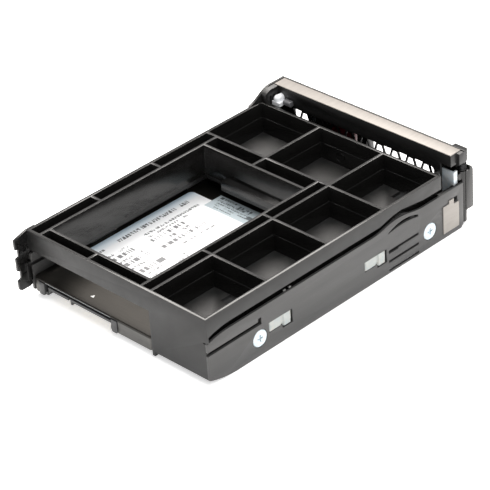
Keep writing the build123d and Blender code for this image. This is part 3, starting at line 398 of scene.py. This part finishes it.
def clear_plastic(name):
    """Clear light guide with a faint blue tint and fine moulding lines."""
    f = Finish(name)
    swirl = f.noise(1.2, detail=2.0)
    base = f.tint((0.88, 0.91, 0.96), (0.97, 0.98, 1.0), swirl)
    return f.surface(base, 0.1 + swirl * 0.1, coat=0.4,
                     fixed={"Subsurface Weight": 0.4, "Subsurface Radius": (0.002, 0.002, 0.002),
                            "IOR": 1.49})


def printed_label(name, paper, ink, box, blocks, painted_shade_edge=None, turned=False):
    """Label stock with printed blocks: lines of illegible strokes and bar codes, all generic.

    Each block holds its kind, then from where to where along and across the label, and the width
    of one stroke, in millimetres. Along is +Y and across is -X, or the other way when turned.
    painted_shade_edge holds the colour of a painted shade along one edge, and where across the label it starts and
    is full.
    """
    f = Finish(name)
    x, y, _ = f.axes()
    low, high = [corner / MM for corner in box]
    across, along = x * -1.0 + high.x, y - low.y
    if turned:
        across, along = y - low.y, x * -1.0 + high.x
    printed = None
    for kind, left, right, bottom, top, pitch in blocks:
        inside = across.between(bottom, top) * along.between(left, right)
        column = (along / pitch).floor()
        seed = bottom * 1.37 + left
        if kind == "bars":
            ink_mask = f.chance(column, seed, 5.0) > 0.42
        elif kind == "solid":
            ink_mask = 1.0
        else:
            height = (top - bottom) / 2.0
            line = ((across - bottom) / height).floor()
            strokes = f.chance(column, line, seed) > 0.30
            spaces = f.chance((along / (pitch * 7.0)).floor(), seed, 1.0) > 0.10
            ink_mask = strokes * ((along / (pitch * 4.0)).fraction() > 0.2) * spaces
        block = inside * ink_mask
        printed = block if printed is None else printed.most(block)
    fibre = f.noise(0.25, detail=2.0)
    stain = f.noise(9.0, detail=2.0)
    base = f.tint(shade(paper, 0.97), paper, fibre * 0.5 + stain * 0.5)
    if painted_shade_edge is not None:
        colour, start, end = painted_shade_edge
        # Painted shade: the colour fades to pale blue towards the edge that lies in shade.
        base = f.tint(base, colour, across.ramp(start, end))
    base = f.tint(base, ink, printed * 0.86)
    rough = 0.38 + fibre * 0.08 - printed * 0.06
    return f.surface(base, rough, normal=f.relief(fibre, 0.004))


def board_finish(name):
    """Solder mask with copper tracks showing through as a lighter green."""
    f = Finish(name)
    x, y, _ = f.axes()
    track = x / TRACK_MM
    line = (track.fraction() - 0.5).size().ramp(0.16, 0.10)
    laid = f.chance(track.floor(), (y / TRACK_RUN_MM).floor(), 1.0) > 0.45
    grid = line * laid
    vias = f.cells(2.4).ramp(0.13, 0.10)
    base = f.tint((0.008, 0.075, 0.035), (0.02, 0.17, 0.08), grid)
    base = f.tint(base, (0.62, 0.5, 0.22), vias)
    return f.surface(base, 0.26 + grid * 0.1, metallic=vias * 0.8, normal=f.relief(grid, 0.01))


def resin(name, colour):
    """Moulded chip package with a fine sand texture."""
    f = Finish(name)
    sand = f.noise(0.14, detail=2.0)
    cloud = f.noise(3.0)
    base = f.tint(shade(colour, 0.8), shade(colour, 1.25), cloud * 0.6 + sand * 0.4)
    return f.surface(base, 0.5 + sand * 0.15, normal=f.relief(sand, 0.012))


def silicone(name, colour):
    """Soft pad that carries heat to the shell."""
    f = Finish(name)
    lump = f.noise(1.2, detail=3.0)
    base = f.tint(shade(colour, 0.85), shade(colour, 1.1), lump)
    return f.surface(base, 0.7 + lump * 0.15, normal=f.relief(lump, 0.05))


def seamless(name):
    """Pale floor."""
    f = Finish(name)
    cloud = f.noise(400.0)
    base = f.tint((0.97, 0.97, 0.97), (1.0, 1.0, 1.0), cloud)
    return f.surface(base, 0.9 + cloud * 0.05,
                     fixed={"Specular IOR Level": 0.0, "Emission Color": (1.0, 1.0, 1.0, 1.0),
                            "Emission Strength": 0.5})


def give(material, *names):
    """Assigns a finish to the slots of CAD nodes."""
    for name in names:
        mesh = frame["nodes"][name].data
        mesh.materials.clear()
        mesh.materials.append(material)


# ---------------------------------------------------------------- modelling helpers
def clear_selection():
    """Leaves edit mode and deselects everything."""
    if bpy.context.object and bpy.context.object.mode != "OBJECT":
        bpy.ops.object.mode_set(mode="OBJECT")
    bpy.ops.object.select_all(action="DESELECT")


def take(piece):
    """Makes this piece the only one selected."""
    clear_selection()
    piece.select_set(True)
    bpy.context.view_layer.objects.active = piece


def settle(piece):
    """Moves the object's place into its mesh."""
    take(piece)
    bpy.ops.object.transform_apply(location=True, rotation=True, scale=True)
    return piece


def add_block(name, low, high):
    """A box between two corners, ready for edit mode."""
    clear_selection()
    low, high = Vector(low), Vector(high)
    bpy.ops.mesh.primitive_cube_add(size=1.0, location=(low + high) / 2)
    piece = bpy.context.object
    piece.name = name
    piece.scale = high - low
    return settle(piece)


def leave_edit():
    """Goes back to object mode."""
    bpy.ops.object.mode_set(mode="OBJECT")


def soften(piece, width):
    """Rounds the sharp edges for good and smooths the shading between them."""
    take(piece)
    bevel = piece.modifiers.new("edges", "BEVEL")
    bevel.width = width
    bevel.segments = 2
    bevel.limit_method = "ANGLE"
    bevel.angle_limit = SHARP
    bevel.use_clamp_overlap = True
    bevel.harden_normals = False
    bpy.ops.object.modifier_apply(modifier=bevel.name)
    bpy.ops.object.shade_smooth_by_angle(angle=SMOOTH_BELOW)
    return piece


def finish_piece(piece, material, body, slot, *replaced):
    """Gives the piece its finish and its body, and hides the parts it stands for; slot is not used."""
    piece.data.materials.clear()
    piece.data.materials.append(material)
    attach(piece, body)
    if replaced:
        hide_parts(*replaced)
    return piece


def join_all(name, pieces):
    """Joins the pieces into one."""
    clear_selection()
    for piece in pieces:
        piece.select_set(True)
    bpy.context.view_layer.objects.active = pieces[0]
    if len(pieces) > 1:
        bpy.ops.object.join()
    joined = bpy.context.object
    joined.name = name
    joined.data.name = name
    return joined


def merged_copy(node, name):
    """A copy of a CAD node with its loose triangles joined up."""
    clear_selection()
    source = frame["nodes"][node]
    piece = bpy.data.objects.new(name, source.data.copy())
    bpy.context.collection.objects.link(piece)
    take(piece)
    bpy.ops.object.mode_set(mode="EDIT")
    bpy.ops.mesh.select_all(action="SELECT")
    bpy.ops.mesh.remove_doubles(threshold=WELD)
    leave_edit()
    return piece


def rounded_copy(node, name, width):
    """A merged copy of a CAD node with its sharp edges rounded."""
    piece = merged_copy(node, name)
    bpy.ops.object.mode_set(mode="EDIT")
    bpy.ops.mesh.select_all(action="SELECT")
    bpy.ops.mesh.dissolve_limited(angle_limit=FLAT, delimit={"NORMAL"})
    leave_edit()
    return soften(piece, width)


# ---------------------------------------------------------------- operators
class PieceOperator:
    """What every operator here shares."""
    bl_options = {"REGISTER", "UNDO"}

    @staticmethod
    def body_of(node):
        """The body that a CAD node moves with."""
        for body, members in frame["record"]["behaviour"]["bodies"].items():
            if node in members:
                return body
        raise ValueError("no body holds " + node)

    @staticmethod
    def slot_of(node):
        """The material slot that a CAD node has."""
        for row in frame["record"]["subparts"]:
            if row["node"] == node:
                return row["material_slot"]
        raise ValueError("no slot for " + node)


class DISKDRIVE_OT_tray(PieceOperator, bpy.types.Operator):
    """Make the moulded tray with its rounded edges"""
    bl_idname = "diskdrive.tray"
    bl_label = "Tray"

    def execute(self, context):
        sizes = context.scene.carrier_sizes
        pocket_floor, rail_side, rear = 16.6, -52.0, 75.4
        black = moulded("tray_plastic", tuple(context.scene.drive_colours.tray), gloss=0.15,
                        coarse=(pocket_floor, rail_side, rear))
        tray = rounded_copy("adapter_tray", "ribbed_tray", sizes.edge_round)
        finish_piece(tray, black, "carrier", "tray_plastic", "adapter_tray")
        return {"FINISHED"}


class DISKDRIVE_OT_rounded(PieceOperator, bpy.types.Operator):
    """Round the edges of the moulded and stamped pieces, and copy the latch's spring"""
    bl_idname = "diskdrive.rounded"
    bl_label = "Rounded pieces"

    def execute(self, context):
        sizes = context.scene.carrier_sizes
        coarse, fine = sizes.edge_round, sizes.sheet_round
        thin, cloth = fine * 0.6, fine * 0.7
        widths = (("bezel_frame", coarse), ("handle", coarse), ("rear_guide", fine), ("left_rail", fine),
                  ("right_rail", fine), ("disk_base", fine), ("release_latch", fine),
                  ("hinge_plate", thin), ("edge_plug", thin), ("light_pipe_clip", fine),
                  ("top_gasket", cloth), ("left_gasket", cloth), ("right_gasket", cloth))
        for node, width in widths:
            slot = self.slot_of(node)
            material = frame["nodes"][node].data.materials[0]
            piece = rounded_copy(node, "rounded_" + node, width)
            finish_piece(piece, material, self.body_of(node), slot, node)
        self.pressed_spring()
        return {"FINISHED"}

    def pressed_spring(self):
        """A smooth-shaded copy of the latch's spring, which the latch slides against; the copy keeps its full
        length.
        """
        travel = next(joint for joint in frame["joints"] if joint["name"] == "latch_slide")["range_m"][1]
        low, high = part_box("latch_spring")
        material = frame["nodes"]["latch_spring"].data.materials[0]
        body, slot = self.body_of("latch_spring"), self.slot_of("latch_spring")
        piece = merged_copy("latch_spring", "pressed_spring")
        bpy.ops.object.shade_smooth_by_angle(angle=SMOOTH_BELOW)
        finish_piece(piece, material, body, slot, "latch_spring")
        keep = 1.0 - travel / (high.x - low.x)
        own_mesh(piece)


class DISKDRIVE_OT_finishes(PieceOperator, bpy.types.Operator):
    """Give every carried-over part its finish"""
    bl_idname = "diskdrive.finishes"
    bl_label = "Finishes"

    def execute(self, context):
        c = context.scene.drive_colours
        give(painted("rail_paint", tuple(c.rail)), "left_rail", "right_rail")
        give(moulded("guide_plastic", shade(tuple(c.bezel), 0.5), gloss=0.24), "rear_guide")
        give(moulded("bezel_plastic", tuple(c.bezel), gloss=0.34), "bezel_frame")
        give(painted("grille_paint", shade(tuple(c.bezel), 0.9), gloss=0.4), "honeycomb_grille")
        give(moulded("handle_plastic", tuple(c.handle), gloss=0.22), "handle")
        give(painted("plate_paint", (0.09, 0.09, 0.095), gloss=0.3), "handle_label_plate")
        give(moulded("latch_plastic", tuple(c.latch), gloss=0.25), "release_latch")
        give(plated("turned_steel", (0.62, 0.62, 0.63), tone=(1.0, 0.99, 0.97)), "hinge_plate_rivets")
        give(plated("dark_steel", (0.05, 0.05, 0.052), gloss=0.35), "hinge_pin")
        give(zinc("zinc_plate", (0.55, 0.57, 0.58)), "hinge_plate")
        give(drawn_wire("spring_wire", (0.5, 0.5, 0.5)), "latch_spring")
        give(drawn_wire("dark_wire", (0.06, 0.06, 0.062)), "torsion_spring")
        give(zinc("leaf_strip", (0.44, 0.44, 0.41)), "leaf_springs")
        give(conductive_cloth("gasket_cloth", tuple(c.cloth)), "top_gasket", "left_gasket", "right_gasket")
        give(clear_plastic("clear_plastic"), "light_pipe")
        give(moulded("clip_plastic", (0.13, 0.13, 0.137), gloss=0.4), "light_pipe_clip")
        give(zinc("zinc_screw", (0.70, 0.75, 0.77)), "rail_screws", "frame_screws", "disk_screws")
        give(plated("black_oxide", (0.05, 0.05, 0.052), gloss=0.36, tone=(1.0, 1.0, 1.1)), "case_screws")
        give(anodised("disk_shell", (0.028, 0.026, 0.023)), "disk_cover")
        give(anodised("disk_cast", (0.10, 0.098, 0.093)), "disk_base")
        give(board_finish("board_laminate"), "circuit_board")
        give(plated("post_brass", (0.75, 0.58, 0.28), tone=(1.0, 0.96, 0.9)), "board_posts")
        give(resin("chip_resin", (0.03, 0.03, 0.032)), "flash_chips", "controller_chip", "memory_chip")
        give(resin("capacitor_resin", (0.5, 0.34, 0.05)), "hold_up_capacitors")
        give(silicone("pad_silicone", (0.42, 0.52, 0.6)), "thermal_pads")
        give(moulded("plug_plastic", (0.045, 0.045, 0.046), gloss=0.34), "edge_plug")
        give(plated("contact_gold", (0.92, 0.72, 0.32), gloss=0.2, tone=(1.0, 0.95, 0.88)), "plug_contacts")
        return {"FINISHED"}


class DISKDRIVE_OT_details(PieceOperator, bpy.types.Operator):
    """Add the barbs in the groove, the printed arrow and the bright edge under the plug"""
    bl_idname = "diskdrive.details"
    bl_label = "Details"

    def execute(self, context):
        self.groove_clips(context)
        self.arrow(context)
        self.plug_rim()
        return {"FINISHED"}

    def plug_rim(self):
        """The thin bright edge of the sheet that screens the plug, under the disk's cover."""
        low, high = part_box("edge_plug")
        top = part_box("disk_cover")[0].z + 0.4 * MM
        end, back, front, thickness = 4.0 * MM, 0.35 * MM, 0.9 * MM, 0.22 * MM
        piece = add_block("plug_rim", (low.x + end, high.y - front, top - thickness),
                          (high.x - end, high.y - back, top))
        soften(piece, 0.05 * MM)
        finish_piece(piece, zinc("screen_edge", (0.5, 0.5, 0.5)), "carrier", "contact_gold")

    def groove_clips(self, context):
        """Two small steel barbs in the groove above the left rail."""
        rail_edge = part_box("left_rail")[0].x
        steel = plated("barb_steel", (0.55, 0.55, 0.54), gloss=0.4)
        barbs = []
        half, bottom, top = 0.7 * MM, 21.75 * MM, 22.2 * MM
        for y in (28.3 * MM, 31.3 * MM):
            low = (rail_edge + 1.0 * MM, y - half, bottom)
            high = (rail_edge + 1.75 * MM, y + half, top)
            barbs.append(add_block("barb", low, high))
        piece = join_all("groove_barbs", barbs)
        soften(piece, 0.08 * MM)
        finish_piece(piece, steel, "carrier", "leaf_steel")

    def arrow(self, context):
        """A small printed triangle that points towards the front."""
        sizes = context.scene.disk_sizes
        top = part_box("disk_cover")[1].z
        clear_selection()
        height = sizes.print_height
        place = (19.6 * MM, 70.4 * MM, top + height * 0.5)
        bpy.ops.mesh.primitive_cylinder_add(vertices=3, radius=sizes.arrow_size * 0.5, depth=height,
                                            location=place, rotation=(0.0, 0.0, math.pi))
        piece = settle(bpy.context.object)
        piece.name = "printed_arrow"
        ink = Finish("white_ink")
        grain = ink.noise(0.2)
        white = ink.surface(ink.tint((0.75, 0.75, 0.73), (0.9, 0.9, 0.88), grain), 0.5 + grain * 0.1)
        finish_piece(piece, white, "carrier", "label_paper")


class DISKDRIVE_OT_labels(PieceOperator, bpy.types.Operator):
    """Print the labels on the disk"""
    bl_idname = "diskdrive.labels"
    bl_label = "Labels"

    def execute(self, context):
        c = context.scene.drive_colours
        blocks = [("words", 7.0, 48.0, 4.1, 6.3, 0.42), ("words", 5.7, 38.0, 9.7, 11.2, 0.36),
                  ("words", 15.0, 37.5, 12.3, 13.6, 0.36), ("bars", 20.0, 39.0, 14.8, 17.2, 0.45),
                  ("words", 20.0, 35.0, 18.6, 20.6, 0.5), ("bars", 14.0, 40.0, 22.0, 24.4, 0.5),
                  ("words", 11.0, 40.0, 27.2, 28.2, 0.8), ("words", 47.0, 59.0, 10.6, 12.0, 0.4),
                  ("bars", 48.0, 53.0, 13.2, 15.9, 0.3), ("bars", 53.0, 61.0, 13.4, 15.9, 0.7),
                  ("words", 46.5, 61.0, 17.6, 19.2, 0.4), ("bars", 46.0, 62.0, 20.1, 22.8, 0.5),
                  ("words", 45.0, 63.0, 24.6, 26.2, 0.4), ("bars", 44.7, 61.0, 28.2, 31.2, 0.6),
                  ("words", 48.0, 62.0, 32.6, 33.8, 0.6), ("words", 52.0, 62.0, 35.6, 36.8, 0.5),
                  ("words", 36.0, 43.0, 33.2, 34.2, 0.6), ("words", 37.0, 43.0, 35.4, 36.4, 0.6),
                  ("words", 56.0, 60.0, 5.0, 6.3, 0.4), ("words", 50.0, 60.0, 38.6, 39.6, 0.5)]
        # The pale blue at the main label's +X edge is painted shade, where the wall of the well shades the label.
        white = printed_label("label_stock", tuple(c.paper), tuple(c.ink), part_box("main_label"), blocks,
                              ((0.66, 0.80, 0.90), 6.0, 0.5))
        give(white, "main_label")
        blocks = [("solid", 1.6, 3.4, 0.8, 2.4, 1.0), ("words", 4.0, 11.0, 1.0, 2.0, 0.4),
                  ("words", 2.0, 12.0, 3.2, 4.4, 0.3), ("words", 12.5, 21.0, 1.6, 4.4, 0.4),
                  ("words", 3.0, 23.0, 5.2, 6.0, 0.3), ("words", 3.0, 22.0, 6.8, 7.6, 0.3),
                  ("words", 4.0, 16.0, 8.4, 9.2, 0.3), ("solid", 21.4, 24.4, 5.0, 7.4, 1.0)]
        stock, ink = (0.50, 0.57, 0.60), (0.05, 0.055, 0.06)
        silver = printed_label("rating_stock", stock, ink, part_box("rating_label"), blocks, turned=True)
        give(silver, "rating_label")
        return {"FINISHED"}


class DISKDRIVE_OT_stage(bpy.types.Operator):
    """Set the floor, the surroundings, the lights and the camera"""
    bl_idname = "diskdrive.stage"
    bl_label = "Stage"

    def execute(self, context):
        stage = context.scene.drive_stage
        clear_selection()
        bpy.ops.mesh.primitive_plane_add(size=stage.floor_size, location=(0, 0, -0.0002))
        floor = bpy.context.object
        floor.name = "floor"
        floor.data.materials.append(seamless("floor_paper"))
        world = bpy.data.worlds.new("surroundings")
        context.scene.world = world
        world.use_nodes = True
        background = world.node_tree.nodes["Background"]
        background.inputs["Color"].default_value = (1.0, 1.0, 1.0, 1.0)
        background.inputs["Strength"].default_value = stage.sky
        lights = (("key", (-0.5, 0.1, 0.9), (0.0, 0.0, 0.0), 0.7, 6.0, (1.0, 1.0, 1.0)),
                  ("side", (-0.9, -0.3, 0.35), (-0.03, 0.0, 0.01), 0.5, 0.8, (1.0, 1.0, 1.0)),
                  ("rear", (0.2, 0.9, 0.5), (0.0, 0.05, 0.01), 0.6, 1.0, (1.0, 1.0, 1.0)),
                  ("softbox", (1.02, -0.97, 0.93), (0.0, 0.0, 0.0), 0.95, 1.8, (1.0, 0.95, 0.90)),
                  ("overhead", (0.45, -0.42, 1.05), (0.0, 0.0, 0.0), 0.8, 21.0, (1.0, 0.96, 0.92)))
        for name, place, aim, size, power, colour in lights:
            light = self.add_light(name, Vector(place), Vector(aim), size, power)
            light.data.color = colour
        self.add_camera(stage)
        context.scene.view_settings.view_transform = "Standard"
        context.scene.view_settings.look = "None"
        return {"FINISHED"}

    @staticmethod
    def add_light(name, place, aim, size, power):
        """A square area light that faces a point."""
        clear_selection()
        turn = (place - aim).to_track_quat("Z", "Y").to_euler()
        bpy.ops.object.light_add(type="AREA", location=place, rotation=turn)
        light = bpy.context.object
        light.name = name
        light.data.shape = "SQUARE"
        light.data.size = size
        light.data.energy = power
        return light

    @staticmethod
    def add_camera(stage):
        """The camera, turned by its azimuth, elevation and roll."""
        a, e, r = stage.azimuth, stage.elevation, stage.roll
        back = Vector((math.sin(a) * math.cos(e), -math.cos(a) * math.cos(e), math.sin(e)))
        right = Vector((math.cos(a), math.sin(a), 0.0))
        up = back.cross(right)
        turned_right = math.cos(r) * right + math.sin(r) * up
        turned_up = math.cos(r) * up - math.sin(r) * right
        clear_selection()
        turn = Matrix((turned_right, turned_up, back)).transposed()
        bpy.ops.object.camera_add(location=stage.camera_place, rotation=turn.to_euler())
        camera = bpy.context.object
        camera.data.lens = stage.lens
        camera.data.sensor_width = 36.0
        camera.data.clip_start = 0.01
        bpy.context.scene.camera = camera


class DISKDRIVE_PT_panel(bpy.types.Panel):
    """Buttons for the pieces and the stage"""
    bl_idname = "DISKDRIVE_PT_panel"
    bl_label = "Disk drive"
    bl_space_type = "VIEW_3D"
    bl_region_type = "UI"
    bl_category = "Disk drive"

    def draw(self, context):
        for operator in OPERATORS:
            self.layout.operator(operator.bl_idname)


GROUPS = {"carrier_sizes": CarrierSizes, "disk_sizes": DiskSizes, "drive_colours": Colours,
          "drive_stage": Stage}
OPERATORS = (DISKDRIVE_OT_stage, DISKDRIVE_OT_finishes, DISKDRIVE_OT_tray, DISKDRIVE_OT_rounded,
             DISKDRIVE_OT_details, DISKDRIVE_OT_labels)


def register():
    for made in (*GROUPS.values(), *OPERATORS, DISKDRIVE_PT_panel):
        bpy.utils.register_class(made)
    for name, group in GROUPS.items():
        setattr(bpy.types.Scene, name, PointerProperty(type=group))


def unregister():
    for name in GROUPS:
        delattr(bpy.types.Scene, name)
    for made in (DISKDRIVE_PT_panel, *reversed(OPERATORS), *reversed(list(GROUPS.values()))):
        bpy.utils.unregister_class(made)


def main():
    register()
    for operator in OPERATORS:
        group, name = operator.bl_idname.split(".")
        getattr(getattr(bpy.ops, group), name)()


if __name__ == "__main__":
    main()
